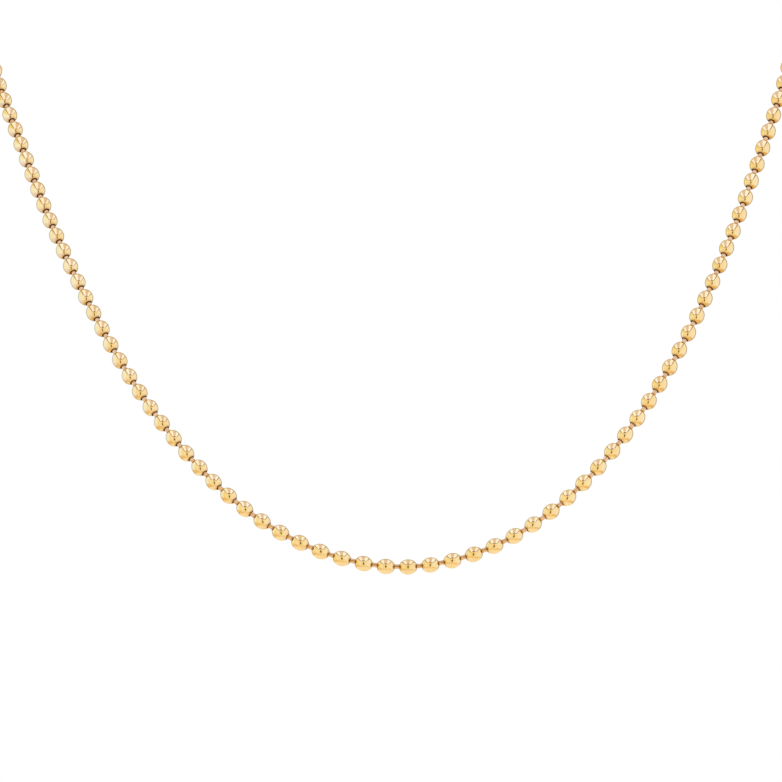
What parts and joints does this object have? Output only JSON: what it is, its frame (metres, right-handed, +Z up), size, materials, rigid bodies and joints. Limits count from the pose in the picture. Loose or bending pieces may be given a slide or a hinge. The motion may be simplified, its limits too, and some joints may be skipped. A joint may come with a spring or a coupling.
{
  "type": "ball chain necklace",
  "caption": "Closed ball chain necklace of hollow gold-coloured balls on short captive pins, with a barrel clasp at the nape, held in its worn form.",
  "frame": {"origin": "where the clasp rests on the nape, at the middle of its side that faces the neck", "axes": "+Z up, -Y towards the front of the wearer, +X to the right of the picture"},
  "size_m": [0.1347, 0.0994, 0.1212],
  "materials": {
    "balls": "polished yellow gold plate",
    "links": "polished yellow gold plate, drawn wire",
    "clasp": "polished yellow gold plate"
  },
  "bodies": {
    "root": {"balls": "balls", "links": "links", "clasp": "clasp"}
  },
  "joints": []
}
